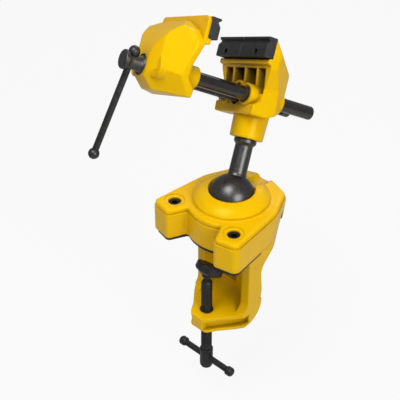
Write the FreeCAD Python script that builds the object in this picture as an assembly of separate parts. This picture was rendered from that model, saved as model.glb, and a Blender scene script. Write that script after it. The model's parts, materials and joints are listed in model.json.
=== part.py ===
"""Multi-angle vise: a small parallel-jaw vise on a ball joint, with its own bench clamp.

Units are millimetres and degrees, +Z up.  The origin is on the underside of the rubber bench pad,
straight below the centre of the ball.  The clamp throat opens towards -Y and the stud slot of the
ball cover points towards +Y.  The jaws, rods and handle are drawn in a head frame and then placed:
its origin is the ball centre, +X runs from the moving jaw to the fixed jaw, +Z runs up the stud.
"""
import FreeCAD, Part
import math
import os

V = FreeCAD.Vector

# Ball joint
BALL_R = 20.5
BALL_Z = 32.5
BALL_GAP = 0.1
STUD_R = 7.6
COLLAR_R = 9.6
OPENING_R = 18.9
OPENING_RISE = 8.0
MOUTH_R = 20.3
MOUTH_RISE = 9.6

# Pose of the head: lean of the stud, the way it leans, and the turn of the jaws about the stud
HEAD_TILT = 37.0
HEAD_LEAN_AZIMUTH = 109.8
HEAD_TURN = -40.5

# Base casting
PAD_T = 4.0
BODY_TOP = 27.5
PLATE_TOP = 32.0
SEAM_STEP = 0.9
FRONT_R = 38.5
EAR_FILLET = 2.2
EAR_X = 33.0
EAR_Y = -34.5
REAR_SCREW_X = 25.0
REAR_SCREW_Y = 31.0
DOME_R = 32.5
DOME_RISE = 3.2
SLOT_HALF = 9.4
SLOT_FLOOR = 28.2
SLOT_FLOOR_HALF = 4.5
BACK_Y = 44.0
REAR_X = 28.5
REAR_Y = 37.0
SIDE_X = 40.5
SIDE_Y = 10.0

# Ball seat, pressure plate and their pockets
CUP_R = 23.0
CUP_FLOOR = 8.0
CUP_TOP = 25.5
PLATE_R = 27.0
RUN_GAP = 0.08

# Cap screws of the cover
CAP_SHANK = 3.0
CAP_HEAD = 5.0
CAP_HEAD_H = 5.0
CAP_SINK = 2.2
CAP_RING = 3.6
CAP_RING_SINK = 0.5
LUG_WALL = 2.6
LUG_DEPTH = 7.5

# Clamp arm
WALL_Y = 2.0
FLANK_Y = -9.0
ARM_BACK_Y = 11.5
ARM_WAIST_Y = 8.5
ARM_WAIST_Z = -35.0
ARM_FLARE_Y = 34.5
ARM_FLOOR = -74.5
ARM_BOTTOM = -92.0
ARM_TOP_HALF = 41.0
ARM_LOW_HALF = 30.0
SCOOP_HALF = 21.5
SCOOP_R = 11.0
WALL_STEP = 1.2
ARM_EDGE_R = 2.2
REAR_DRAFT = 3.0
SCREW_Y = -30.0
NOSE_R = 12.8
POCKET_DEPTH = 4.5
WEB_T = 4.2

# Clamp screw, swivel pad and T bar
CLAMP_R = 5.0
CLAMP_TOP = -40.0
CLAMP_HEAD_R = 6.1
CLAMP_HEAD_TOP = -123.0
CLAMP_TAIL = -146.5
CLAMP_BAR_Z = -134.0
CLAMP_BAR_R = 2.9
CLAMP_BAR_HALF = 28.5
CLAMP_KNOB_R = 4.3
INSERT_R = 8.0
INSERT_NECK_R = 5.9
INSERT_SKIN = 1.6
SWIVEL_Z = -33.5
SWIVEL_R = 4.6
NECK_R = 2.7
SHANK_R = 2.4
SHANK_L = 9.0
SHOE_R = 12.4
SHOE_HUB_R = 6.5
SHOE_UNDER = 0.7
SHOE_RIM_LOW = 3.1
SHOE_TOP = 8.4
SHOE_GROOVE = 0.8
SHOE_TILT = 38.0

# Jaws, in the head frame
JAW_W = 75.0
JAW_TOP = 131.2
PAD_H = 16.5
JAW_PAD_T = 8.7
FIXED_FACE = -25.7
MOVING_FACE = -70.4
V_DEPTH = 2.6
V_LOW = 9.8
V_ROOT = 13.2
V_TOP = 14.9
CROSS_GROOVE = 2.2
PAD_SCREW_W = 23.0
PAD_SCREW_U = 4.0
PAD_SCREW_R = 1.6
PAD_SCREW_HEAD = 2.3
PAD_SCREW_HEAD_H = 2.6
PAD_SCREW_L = 13.0
LEDGE_OUT = 3.2
LEDGE_T = 3.7
RIB_T = 3.0
RIB_W = 18.0
CELL_WALL = 7.5
CELL_TOP = 107.5
CELL_FLOOR = 87.0
PLATE_BACK = 3.1
CROWN_DROP = 4.4
CROWN_HALF = 12.0
SHOULDER_DROP = 12.0
SHOULDER_IN = 7.5
CORNER_DROP = 19.0
FIXED_BOTTOM = 69.0
SHOULDER_SLOPE = 1.3
SHOULDER_FALL = 1.08
FIXED_DOME_BACK = 16.4
FIXED_DOME_U = 90.0
MOVING_BOTTOM = 67.5
CHIN_HALF = 13.0
CHIN_RISE = 16.5

# Guide rods and lead screw
ROD_U = 84.8
ROD_W = 16.2
ROD_R = 5.8
ROD_REAR = 46.4
ROD_FRONT = -103.0
ROD_BOSS_R = 9.2
MOVING_BOSS_R = 9.0
MOVING_BOSS_END = -70.5
FIXED_BOSS_END = -21.5
SHELF_BACK = 1.9
SHELF_TOP = 77.0
ROD_FIT = 0.03
BUSH_T = 1.3
BUSH_L = 30.0
ROD_PIN_R = 1.5
ROD_PIN_S = -92.0
LEAD_R = 7.0
LEAD_REAR = 30.0
LEAD_HEAD_R = 7.8
LEAD_HEAD_END = -126.9
LEAD_HEAD_BACK = -122.6
WAIST_R = 6.2
FLANGE_R = 8.1
FLANGE_FRONT = -109.4
FLANGE_BACK = -107.4
LEAD_BOSS_R = 11.5
JAW_NOSE = -110.5
NOSE_WALL_BACK = -98.0
NOSE_WALL_T = 8.0
WASHER_T = 1.6
WASHER_R = 10.4
CLIP_T = 1.2
CLIP_R = 9.6
CLIP_GROOVE_R = 5.8
NUT_FRONT = -15.0
NUT_L = 16.0
NUT_R = 9.4

# Jaw handle
BAR_S = -119.5
BAR_R = 2.75
BAR_LENGTH = 88.8
KNOB_R = 4.6
KNOB_SEAT = 8.2
BAR_LEAN = 19.4

# Stem of the head
STEM_R = 14.2
STEM_BOTTOM = 50.6
STEM_TOP = 74.0
JOURNAL_R = 7.0
JOURNAL_TOP = 70.0
COLLAR_BOTTOM = 45.0
LOCK_U = 60.0
LOCK_R = 3.0
LOCK_TIP_R = 1.6
LOCK_GROOVE = 1.8


def corner_edges(before, here, after, radius):
    """Tangent points of a corner arc and its middle, for a corner of a closed outline."""
    a = (before - here).normalize()
    b = (after - here).normalize()
    half = a.getAngle(b) / 2
    reach = radius / math.tan(half)
    middle = (a + b).normalize()
    start = here + a * reach
    end = here + b * reach
    centre = here + middle * (radius / math.sin(half))
    return start, centre - middle * radius, end


def outline(corners):
    """Closed wire in the XY plane through (x, y) or (x, y, radius) corners."""
    points = [V(c[0], c[1], 0) for c in corners]
    radii = [c[2] if len(c) > 2 else 0 for c in corners]
    spans = []
    for i, here in enumerate(points):
        if radii[i] > 0:
            spans.append(corner_edges(points[i - 1], here, points[(i + 1) % len(points)], radii[i]))
        else:
            spans.append((here, None, here))
    edges = []
    for i, (start, middle, end) in enumerate(spans):
        if middle is not None:
            edges.append(Part.Arc(start, middle, end).toShape())
        following = spans[(i + 1) % len(spans)][0]
        if end.distanceToPoint(following) > 1e-6:
            edges.append(Part.LineSegment(end, following).toShape())
    return Part.Wire(edges)


def flat(corners):
    """Face in the XY plane inside an outline."""
    return Part.Face(outline(corners))


def prism_z(corners, low, high):
    """Outline in x, y carried from z = low to z = high."""
    face = flat(corners)
    face.translate(V(0, 0, low))
    return face.extrude(V(0, 0, high - low))


def prism_x(corners, low, high):
    """Outline in y, z carried from x = low to x = high."""
    solid = prism_z(corners, low, high)
    solid.rotate(V(), V(1, 0, 0), 90)
    solid.rotate(V(), V(0, 0, 1), 90)
    return solid


def prism_y(corners, low, high):
    """Outline in x, z carried from y = low to y = high."""
    solid = prism_z(corners, -high, -low)
    solid.rotate(V(), V(1, 0, 0), 90)
    return solid


def mirrored(corners):
    """A right-hand run of (x, y, radius) corners and its mirror image, as one closed outline."""
    left = [(-c[0],) + tuple(c[1:]) for c in reversed(corners)]
    return list(corners) + left


def turned_z(corners):
    """Solid of revolution about Z from (radius, z) corners."""
    face = flat(corners)
    face.rotate(V(), V(1, 0, 0), 90)
    return face.revolve(V(), V(0, 0, 1), 360)


def turned_x(corners):
    """Solid of revolution about X from (x, radius) corners."""
    face = flat(corners)
    return face.revolve(V(), V(1, 0, 0), 360)


def rod_x(radius, start, end, y=0.0, z=0.0):
    """Cylinder along X."""
    return Part.makeCylinder(radius, end - start, V(start, y, z), V(1, 0, 0))


def rod_z(radius, low, high, x=0.0, y=0.0):
    """Cylinder along Z."""
    return Part.makeCylinder(radius, high - low, V(x, y, low))


def block(low, high):
    """Box between two corners."""
    return Part.makeBox(high[0] - low[0], high[1] - low[1], high[2] - low[2], V(*low))


def fused(*solids):
    """Union of several solids with the seams between them removed."""
    whole = solids[0]
    for other in solids[1:]:
        whole = whole.fuse(other)
    return whole.removeSplitter()


def common(*solids):
    """What several solids have in common."""
    whole = solids[0]
    for other in solids[1:]:
        whole = whole.common(other)
    return whole


def beyond_plane(a, b, c, inside):
    """Large block on the side of the plane through three points that is away from a fourth."""
    normal = (b - a).cross(c - a).normalize()
    if normal.dot(inside - a) > 0:
        normal = -normal
    slab = block((-100, -100, 0), (100, 100, 100))
    slab.Placement = FreeCAD.Placement(a, FreeCAD.Rotation(V(0, 0, 1), normal))
    return slab


def single(shape):
    """The one solid of a shape."""
    solids = shape.Solids
    assert len(solids) == 1, len(solids)
    return solids[0]


def head_placement():
    """Head frame to part frame: turn about the stud, lean, then turn to the lean's azimuth."""
    turn = FreeCAD.Rotation(V(0, 0, 1), HEAD_TURN)
    lean = FreeCAD.Rotation(V(0, 1, 0), HEAD_TILT)
    azimuth = FreeCAD.Rotation(V(0, 0, 1), HEAD_LEAN_AZIMUTH)
    return FreeCAD.Placement(V(0, 0, BALL_Z), azimuth.multiply(lean).multiply(turn))


def on_head(shape):
    """A shape drawn in the head frame, moved to its place on the tilted stud."""
    moved = shape.copy()
    moved.Placement = head_placement().multiply(moved.Placement)
    return moved


# Base casting, cover and what is between them

def base_corners(grow=0.0):
    """Right half of the base outline: two front ears, straight flanks and a narrower back."""
    return [(9.0 + grow, BACK_Y + grow, 2.0),
            (REAR_X + grow, REAR_Y + grow, 9.0),
            (SIDE_X + grow, SIDE_Y, 30.0),
            (46.5 + grow, -46.0 - grow, 6.0),
            (26.5 - grow, -50.5 - grow, 4.0),
            (17.5 - grow, -31.6)]


def base_outline(grow=0.0):
    """Whole base outline; the front between the ears is an arc about the ball axis."""
    right = base_corners(grow)
    left = [(-c[0],) + tuple(c[1:]) for c in reversed(right)]
    return right + left


def front_disc(low, high, grow=0.0):
    """Round front of the base between the ears."""
    return rod_z(FRONT_R + grow, low, high)


def base_slab(low, high, grow=0.0):
    """Slab of the base outline with its round front and filleted inner ear corners."""
    slab = fused(prism_z(base_outline(grow), low, high), front_disc(low, high, grow))
    inner = [e for e in slab.Edges
             if e.BoundBox.ZLength > high - low - 0.01 and e.BoundBox.XLength < 0.01
             and math.hypot(e.CenterOfMass.x, e.CenterOfMass.y) < FRONT_R + grow + 0.1
             and e.CenterOfMass.y < EAR_Y / 2]
    return slab.makeFillet(EAR_FILLET, inner)


def arm_side():
    """Side view of the clamp arm as (y, z) corners: flanks, floor and nose, waisted back."""
    nose = SCREW_Y - NOSE_R
    return [(FLANK_Y, BODY_TOP),
            (FLANK_Y, ARM_FLOOR, SCOOP_R - 1),
            (nose, ARM_FLOOR, 2.0),
            (nose, ARM_BOTTOM, 5.0),
            (ARM_BACK_Y, ARM_BOTTOM, 20.0),
            (ARM_BACK_Y - 0.5, ARM_FLOOR + 14.0, 22.0),
            (ARM_WAIST_Y, ARM_WAIST_Z, 14.0),
            (ARM_FLARE_Y - 5.0, -14.5, 12.0),
            (ARM_FLARE_Y, 2.0, 8.0),
            (ARM_FLARE_Y, BODY_TOP)]


def arm_front():
    """Front view of the arm as right-hand (x, z) corners: full width at the top, narrower below."""
    return mirrored([(ARM_LOW_HALF, ARM_BOTTOM),
                     (ARM_LOW_HALF, -10.0, 14.0),
                     (ARM_TOP_HALF, 16.0, 8.0),
                     (ARM_TOP_HALF + 5.5, BODY_TOP)])


def arm_plan(inset=0.0):
    """Plan of the arm: a nose round the clamp screw, flaring back to the flanks."""
    nose = NOSE_R - inset
    low = ARM_LOW_HALF - inset
    wide = ARM_TOP_HALF + 6.0 - inset
    return mirrored([(nose * 0.6, SCREW_Y - nose, 6.5),
                     (nose + 1.7, SCREW_Y - 2.0, 10.0),
                     (low - 5.5, FLANK_Y - 11.0 + inset * 0.5, 12.0),
                     (low + 0.5, FLANK_Y - 2.5 + inset),
                     (wide, FLANK_Y - 2.5 + inset, 6.0),
                     (wide, BACK_Y + 1.0)])


def arm():
    """Clamp arm: the three views carried through each other, with a scooped wall and side pockets."""
    under = ARM_BOTTOM - 1
    solid = common(prism_x(arm_side(), -60, 60),
                   prism_y(arm_front(), -60, 60),
                   prism_z(arm_plan(), under, BODY_TOP + 1),
                   fused(prism_z(base_outline(SEAM_STEP), under, BODY_TOP),
                         block((-ARM_LOW_HALF, -60, under), (ARM_LOW_HALF, -20, BODY_TOP))))
    scoop = prism_x([(-60, PAD_T), (-60, ARM_FLOOR), (WALL_Y, ARM_FLOOR, SCOOP_R), (WALL_Y, PAD_T)],
                    -60, 60)
    mouth = prism_z(mirrored([(SCOOP_HALF - 3.0, WALL_Y + 1),
                              (SCOOP_HALF - 3.0, WALL_Y - 2.0, 3.0),
                              (SCOOP_HALF, FLANK_Y, 2.0),
                              (SCOOP_HALF - 1.0, SCREW_Y)][::-1]), ARM_FLOOR, PAD_T)
    solid = solid.cut(scoop.common(mouth)).removeSplitter()
    rim = [e for e in solid.Edges if e.BoundBox.ZMax < ARM_BOTTOM + 0.01]
    solid = solid.makeFillet(ARM_EDGE_R, rim)
    pocket = prism_z(arm_plan(), ARM_BOTTOM + WEB_T, ARM_FLOOR - WEB_T)
    pocket = pocket.cut(prism_z(arm_plan(POCKET_DEPTH), ARM_BOTTOM, ARM_FLOOR))
    pocket = pocket.cut(block((-NOSE_R / 2, -60, ARM_BOTTOM), (NOSE_R / 2, 60, ARM_FLOOR)))
    pocket = pocket.cut(block((-60, FLANK_Y + 6.0, ARM_BOTTOM), (60, 60, ARM_FLOOR)))
    solid = solid.cut(pocket)
    low = ARM_FLOOR + SCOOP_R + 5.0
    right = SCOOP_HALF * 0.3
    solid = solid.cut(block((-SCOOP_HALF * 0.6, WALL_Y - 1, low), (right, WALL_Y + WALL_STEP, -PAD_T)))
    return solid.cut(block((-SCOOP_HALF * 0.25, WALL_Y, low + 2.0), (right, WALL_Y + 2 * WALL_STEP, -PAD_T)))


def rear_draft():
    """The two blocks that lean the rear side faces of the base inwards towards the bottom."""
    drop = BODY_TOP - PAD_T
    along = V(REAR_X - SIDE_X, REAR_Y - SIDE_Y, 0).normalize()
    corners = []
    for side in (-1, 1):
        top = V(side * (REAR_X + SEAM_STEP), REAR_Y + SEAM_STEP, BODY_TOP)
        along_side = V(side * along.x, along.y, 0)
        inward = V(-side * along.y, along.x, 0)
        corners.append(beyond_plane(top, top + along_side * 20, top + inward * REAR_DRAFT - V(0, 0, drop),
                                    V(0, 0, BODY_TOP)))
    return corners


def screw_places():
    """Centres of the four cover screws, front pair first."""
    return [(EAR_X, EAR_Y), (-EAR_X, EAR_Y), (REAR_SCREW_X, REAR_SCREW_Y), (-REAR_SCREW_X, REAR_SCREW_Y)]


def lug_radius(x, y):
    """Radius of the cover lug round a screw: wide enough for the cap head at the front."""
    return CAP_HEAD + RUN_GAP * 4 + LUG_WALL if y < 0 else CAP_SHANK + LUG_WALL


def base_body():
    """Casting with the ball pocket, the screw holes and the clamp arm."""
    body = fused(base_slab(PAD_T, BODY_TOP, SEAM_STEP), arm())
    for corner in rear_draft():
        body = body.cut(corner)
    body = body.cut(rod_z(CUP_R + RUN_GAP, CUP_FLOOR - 0.1, BODY_TOP + 1))
    body = body.cut(rod_z(PLATE_R + RUN_GAP, PAD_T, CUP_FLOOR).common(
        block((-60, -60, 0), (60, WALL_Y - 2.4, CUP_FLOOR))))
    for x, y in screw_places():
        body = body.cut(rod_z(lug_radius(x, y) + 0.1, BODY_TOP - LUG_DEPTH, BODY_TOP + 1, x, y))
    for x, y in screw_places()[:2]:
        body = body.cut(rod_z(CAP_SHANK + 0.05, PAD_T + 4, BODY_TOP, x, y))
    for x, y in screw_places()[2:]:
        body = body.cut(rod_z(CAP_SHANK + 0.3, -30, BODY_TOP, x, y))
        body = body.cut(rod_z(CAP_HEAD + 0.4, -30, 13.0, x, y))
    body = body.cut(trough_block(0.15))
    body = body.cut(rod_z(INSERT_R, ARM_BOTTOM - 1, ARM_FLOOR - INSERT_SKIN, 0, SCREW_Y))
    return single(body.cut(rod_z(INSERT_NECK_R, ARM_FLOOR - 3, ARM_FLOOR + 1, 0, SCREW_Y)))


def trough_block(grow=0.0):
    """Block below the slot that thickens the cover there."""
    half = SLOT_HALF + 4.5 + grow
    return block((-half, 17, BODY_TOP - 4.5 - grow), (half, BACK_Y + 1.5, BODY_TOP + grow))


def slot_cut():
    """Sloping-sided slot for the stud, from the ball out to the back edge."""
    profile = mirrored([(SLOT_HALF + 5.0, PLATE_TOP + 14.0),
                        (SLOT_HALF, PLATE_TOP + 1.5, 3.0),
                        (SLOT_FLOOR_HALF, SLOT_FLOOR, 3.0)][::-1])
    return prism_y(profile, 8, BACK_Y + 4)


def dome():
    """Raised ring and dome round the ball opening."""
    return turned_z([(0, BODY_TOP),
                     (DOME_R + 1.8, BODY_TOP),
                     (DOME_R + 1.8, PLATE_TOP),
                     (DOME_R + 0.2, PLATE_TOP + 0.5, 0.8),
                     (DOME_R, PLATE_TOP + DOME_RISE, 1.2),
                     (DOME_R - 4.5, BALL_Z + 6.9, 14.0),
                     (MOUTH_R + 0.8, BALL_Z + MOUTH_RISE, 0.6),
                     (MOUTH_R, BALL_Z + MOUTH_RISE),
                     (0, BALL_Z + MOUTH_RISE)])


def ball_cover():
    """Cover casting: ears, dome, ball socket, stud slot and locating lugs."""
    plate = base_slab(BODY_TOP, PLATE_TOP)
    rim = [e for e in plate.Edges if e.BoundBox.ZMin > PLATE_TOP - 0.01]
    plate = plate.makeChamfer(1.3, rim)
    cover = fused(plate, dome())
    for x, y in screw_places():
        cover = cover.fuse(rod_z(lug_radius(x, y), BODY_TOP - LUG_DEPTH + 0.1, BODY_TOP + 1, x, y))
    cover = cover.fuse(trough_block().common(base_slab(BODY_TOP - 6, BODY_TOP)))
    cover = cover.cut(rod_z(CUP_R + 0.3, BODY_TOP - 10, BALL_Z - 3.5))
    cover = cover.cut(Part.makeSphere(BALL_R + BALL_GAP, V(0, 0, BALL_Z)))
    cover = cover.cut(rod_z(BALL_R + BALL_GAP, BODY_TOP - 6, BALL_Z))
    cover = cover.cut(turned_z([(0, BALL_Z), (OPENING_R, BALL_Z), (OPENING_R, BALL_Z + OPENING_RISE),
                                (MOUTH_R, BALL_Z + MOUTH_RISE), (MOUTH_R, BALL_Z + 14), (0, BALL_Z + 14)]))
    cover = cover.cut(slot_cut())
    head_floor = PLATE_TOP - CAP_SINK - CAP_HEAD_H
    for x, y in screw_places()[:2]:
        cover = cover.cut(rod_z(CAP_SHANK + 0.3, BODY_TOP - LUG_DEPTH, PLATE_TOP + 1, x, y))
        cover = cover.cut(rod_z(CAP_HEAD + 0.35, head_floor, PLATE_TOP + 1, x, y))
        cover = cover.cut(rod_z(CAP_HEAD + CAP_RING, PLATE_TOP - CAP_RING_SINK, PLATE_TOP + 1, x, y))
        cover = cover.cut(Part.makeCone(CAP_HEAD + 0.35, CAP_HEAD + 2.2, 1.2, V(x, y, PLATE_TOP - 1.1)))
    for x, y in screw_places()[2:]:
        cover = cover.cut(rod_z(CAP_SHANK + 0.05, BODY_TOP - LUG_DEPTH, PLATE_TOP - 1.2, x, y))
    return single(cover.removeSplitter())


def cap_screw(length):
    """Socket cap screw, tip down, with the underside of its head at z = 0."""
    shank = rod_z(CAP_SHANK, -length, 0.5)
    head = turned_z([(0, 0), (CAP_HEAD, 0), (CAP_HEAD, CAP_HEAD_H, 0.7), (0, CAP_HEAD_H)])
    socket = prism_z([(2.9 * math.cos(math.radians(60 * i)), 2.9 * math.sin(math.radians(60 * i)))
                      for i in range(6)], CAP_HEAD_H - 2.8, CAP_HEAD_H + 1)
    return single(fused(shank, head).cut(socket))


def cover_screws_front():
    """The two cap screws in the ears."""
    screw = cap_screw(14.5)
    under_head = PLATE_TOP - CAP_SINK - CAP_HEAD_H
    return [screw.translated(V(x, y, under_head)) for x, y in screw_places()[:2]]


def cover_screws_rear():
    """The two cap screws that come up from below at the back."""
    screw = cap_screw(15.5)
    screw.rotate(V(), V(1, 0, 0), 180)
    return [screw.translated(V(x, y, 13.0)) for x, y in screw_places()[2:]]


def base_pad():
    """Rubber pad under the base, up to the wall of the arm and cut out round its flanks."""
    pad = base_slab(0, PAD_T, -0.8).common(block((-60, -60, 0), (60, WALL_Y - 0.2, PAD_T)))
    for side in (-1, 1):
        inner = side * (SCOOP_HALF - 3.2)
        outer = side * 60
        pad = pad.cut(block((min(inner, outer), FLANK_Y - 0.2, -1), (max(inner, outer), 60, PAD_T + 1)))
    return single(pad)


def pressure_plate():
    """Steel plate between the bench pad and the ball seat."""
    disc = rod_z(PLATE_R, PAD_T, CUP_FLOOR - 0.1)
    return single(disc.common(block((-60, -60, 0), (60, WALL_Y - 2.5, CUP_FLOOR))))


def ball_seat():
    """Cup under the ball."""
    cup = rod_z(CUP_R, CUP_FLOOR, CUP_TOP)
    cup = cup.cut(Part.makeSphere(BALL_R + BALL_GAP, V(0, 0, BALL_Z)))
    return single(cup)


def clamp_insert():
    """Threaded steel insert in the nose of the arm, with a neck that shows above the floor."""
    insert = rod_z(INSERT_R, ARM_BOTTOM, ARM_FLOOR - INSERT_SKIN, 0, SCREW_Y)
    insert = insert.fuse(rod_z(INSERT_NECK_R, ARM_FLOOR - 3, ARM_FLOOR + 0.7, 0, SCREW_Y))
    return single(insert.cut(rod_z(CLAMP_R + RUN_GAP, ARM_BOTTOM - 1, ARM_FLOOR + 3, 0, SCREW_Y)))


# Ball and stud, in the head frame

def ball_stud():
    """Ball, stud, collar and the grooved journal that carries the head."""
    ball = Part.makeSphere(BALL_R)
    stud = turned_z([(0, BALL_R - 6),
                     (STUD_R + 1.6, BALL_R - 6),
                     (STUD_R + 0.1, BALL_R + 0.3, 2.5),
                     (STUD_R, COLLAR_BOTTOM, 2.0),
                     (COLLAR_R, COLLAR_BOTTOM + 2.2, 0.8),
                     (COLLAR_R, STEM_BOTTOM - 0.4, 0.5),
                     (JOURNAL_R, STEM_BOTTOM - 0.4),
                     (JOURNAL_R, LOCK_U - LOCK_GROOVE),
                     (JOURNAL_R - 1.8, LOCK_U - LOCK_GROOVE),
                     (JOURNAL_R - 1.8, LOCK_U + LOCK_GROOVE),
                     (JOURNAL_R, LOCK_U + LOCK_GROOVE),
                     (JOURNAL_R, JOURNAL_TOP, 0.8),
                     (0, JOURNAL_TOP)])
    flat_bottom = block((-30, -30, -30), (30, 30, -BALL_R + 0.6))
    return single(fused(ball, stud).cut(flat_bottom))


# Fixed jaw and what it carries, in the head frame

FIXED_BACK = FIXED_FACE + JAW_PAD_T


def square_head():
    """Upper part of a jaw's front view where it carries the pad."""
    return [(JAW_W / 2, JAW_TOP, 4.0)]


def crowned_head():
    """Upper part of a jaw's front view over a crowned dome."""
    half = JAW_W / 2
    return [(half, JAW_TOP - CORNER_DROP, 5.0),
            (half - SHOULDER_IN, JAW_TOP - SHOULDER_DROP, 9.0),
            (CROWN_HALF, JAW_TOP - CROWN_DROP, 20.0)]


def fixed_foot():
    """Lower part of the fixed jaw's front view, bottom first."""
    half = JAW_W / 2
    return [(half - 14.0, STEM_TOP - 14.0),
            (half - 9.0, FIXED_BOTTOM + 1.0, 3.0),
            (half - 6.3, CELL_FLOOR + 5.0, 12.0),
            (half, CELL_TOP - 0.5, 6.0)]


def moving_foot():
    """Lower part of the moving jaw's front view, bottom first."""
    half = JAW_W / 2
    return [(half - 9.0, MOVING_BOTTOM - 7.5),
            (half - 6.0, MOVING_BOTTOM + 4.5, 4.0),
            (half, CELL_TOP - 3.5, 20.0)]


def fixed_side():
    """Side view of the fixed jaw: pad seat, ledge, frame face, shelf and the round back."""
    low = JAW_TOP - PAD_H
    ledge = FIXED_BACK - LEDGE_OUT
    shelf = FIXED_BOSS_END + SHELF_BACK
    brow = JAW_TOP - 8.8
    rise = FIXED_DOME_U - FIXED_BOTTOM
    rest = brow - FIXED_DOME_U
    return [(FIXED_BACK, JAW_TOP),
            (FIXED_BACK, low - 0.1),
            (ledge, low - 0.8, 0.8),
            (ledge, low - 0.8 - LEDGE_T, 0.8),
            (FIXED_BACK, low - 1.8 - LEDGE_T, 1.0),
            (FIXED_BACK + 3.0, CELL_FLOOR + 5.0, 10.0),
            (FIXED_BACK + 3.0, SHELF_TOP + 3.5, 3.0),
            (shelf, SHELF_TOP, 1.5),
            (shelf, FIXED_BOTTOM, 1.5),
            (-3.0, FIXED_BOTTOM, 6.0),
            (FIXED_DOME_BACK - 5.5, FIXED_BOTTOM + rise * 8.0 / 21.0, 9.0),
            (FIXED_DOME_BACK, FIXED_DOME_U, min(16.0, rise * 16.0 / 21.0, rest / 2)),
            (FIXED_DOME_BACK - 3.8, brow - rest * 15.2 / 32.4, 20.0),
            (FIXED_BACK + 18.0, brow, 18.0),
            (FIXED_BACK + 7.5, JAW_TOP - 3.6, 3.0),
            (FIXED_BACK + 4.6, JAW_TOP, 1.2)]


def fixed_plan():
    """Plan of the fixed jaw as (x, y) corners."""
    half = JAW_W / 2
    right = [(FIXED_BACK - 23.0, -half), (FIXED_BACK + 7.5, -half, 7.0),
             (FIXED_DOME_BACK - 2.8, 15.5 - half, 12.0), (FIXED_DOME_BACK + 1.4, -6.0, 20.0)]
    left = [(c[0], -c[1]) + tuple(c[2:]) for c in reversed(right)]
    return right + left


def ribs(low_s, high_s):
    """The three upright ribs of a jaw frame."""
    return [block((low_s, w - RIB_T / 2, CELL_FLOOR - 1), (high_s, w + RIB_T / 2, CELL_TOP + 1))
            for w in (-RIB_W, 0.0, RIB_W)]


def window_cells(seat, deep, inward):
    """Hollow between the ribs, open towards the pad seat; inward is +1 or -1 along X."""
    half = JAW_W / 2 - CELL_WALL
    start = seat - inward * 20.0
    flank = seat + inward * 8.0
    corners = [(start, -half), (flank, -half, 4.0), (deep, 1.0 - RIB_W, 7.0),
               (deep, RIB_W - 1.0, 7.0), (flank, half, 4.0), (start, half)]
    cells = prism_z(corners[::inward], CELL_FLOOR, CELL_TOP)
    for rib in ribs(min(start, deep), max(start, deep)):
        cells = cells.cut(rib)
    return cells


def jaw_shell(side, plan, foot, head, plate_start, plate_end):
    """Casting from its three views: a dome behind a square plate for the pad."""
    half = JAW_W / 2
    profile = prism_y(side, -half, half)
    reach = 130.0
    dome_part = common(profile, prism_z(plan, FIXED_BOTTOM - 20, JAW_TOP + 1),
                       prism_x(mirrored(foot + head), -reach, reach))
    plate = common(profile, prism_x(mirrored(foot + square_head()), plate_start, plate_end))
    return fused(dome_part, plate)


def jaw_screw_holes(jaw, seat, inward):
    """Pad screw holes cut into a jaw from its pad seat; inward is +1 or -1 along X."""
    for w in (-PAD_SCREW_W, PAD_SCREW_W):
        u = JAW_TOP - PAD_H + PAD_SCREW_U
        start = seat - inward
        end = seat + inward * (PAD_SCREW_L - 4.0)
        hole = rod_x(PAD_SCREW_R + 0.05, min(start, end), max(start, end), w, u)
        jaw = jaw.cut(hole)
    return jaw


def fixed_shoulders():
    """The two blocks that slope the shoulders of the fixed jaw to the back and to the sides."""
    half = JAW_W / 2
    inside = V(FIXED_BACK + 10.0, 0, ROD_U + 10.0)
    blocks = []
    for side in (-1, 1):
        top = V(FIXED_BACK + 1.0, side * half, JAW_TOP - 2.2)
        blocks.append(beyond_plane(top, top + V(15.0, 0, -15.0 * SHOULDER_SLOPE),
                                   top + V(0, -side * 15.0, 15.0 * SHOULDER_FALL), inside))
    return blocks


def fixed_jaw():
    """Fixed jaw casting with its window cells, rod bosses, nut pocket and stem."""
    jaw = jaw_shell(fixed_side(), fixed_plan(), fixed_foot(), square_head(), FIXED_BOSS_END,
                    FIXED_BACK + PLATE_BACK - 0.8)
    for shoulder in fixed_shoulders():
        jaw = jaw.cut(shoulder)
    boss_end = FIXED_DOME_BACK - 4.5
    jaw = jaw.cut(window_cells(FIXED_BACK, boss_end - 4.0, 1))
    bosses = [rod_x(ROD_BOSS_R, FIXED_BOSS_END, boss_end, w, ROD_U) for w in (-ROD_W, ROD_W)]
    bosses.append(rod_x(LEAD_BOSS_R, FIXED_BOSS_END + 2.0, boss_end, 0, ROD_U))
    for boss in bosses:
        jaw = jaw.fuse(boss)
    stem = turned_z([(0, STEM_BOTTOM), (STEM_R, STEM_BOTTOM, 1.4), (STEM_R + 0.9, STEM_TOP, 0.5),
                     (0, STEM_TOP)])
    jaw = fused(jaw, stem)
    jaw = jaw.cut(rod_z(JOURNAL_R + RUN_GAP, STEM_BOTTOM - 1, JOURNAL_TOP + 0.6))
    for w in (-ROD_W, ROD_W):
        jaw = jaw.cut(rod_x(ROD_R + BUSH_T, FIXED_BOSS_END - 1, FIXED_BOSS_END + BUSH_L, w, ROD_U))
        jaw = jaw.cut(rod_x(ROD_R + 0.5, FIXED_BOSS_END - 1, 60, w, ROD_U))
    jaw = jaw.cut(rod_x(LEAD_R + 0.6, -60, 60, 0, ROD_U))
    jaw = jaw.cut(hex_bar(NUT_R, NUT_FRONT - 20, NUT_FRONT + NUT_L))
    lock = Part.makeCylinder(LOCK_R, 30, V(0, 0, LOCK_U), V(1, 0, 0))
    return single(jaw_screw_holes(jaw.cut(lock), FIXED_BACK, 1))


def hex_bar(radius, start, end):
    """Hexagonal bar along X on the lead screw axis, with flats towards the guide rods."""
    angles = [math.radians(30 + 60 * i) for i in range(6)]
    bar = prism_x([(radius * math.cos(a), radius * math.sin(a)) for a in angles], start, end)
    bar.translate(V(0, 0, ROD_U))
    return bar


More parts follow.
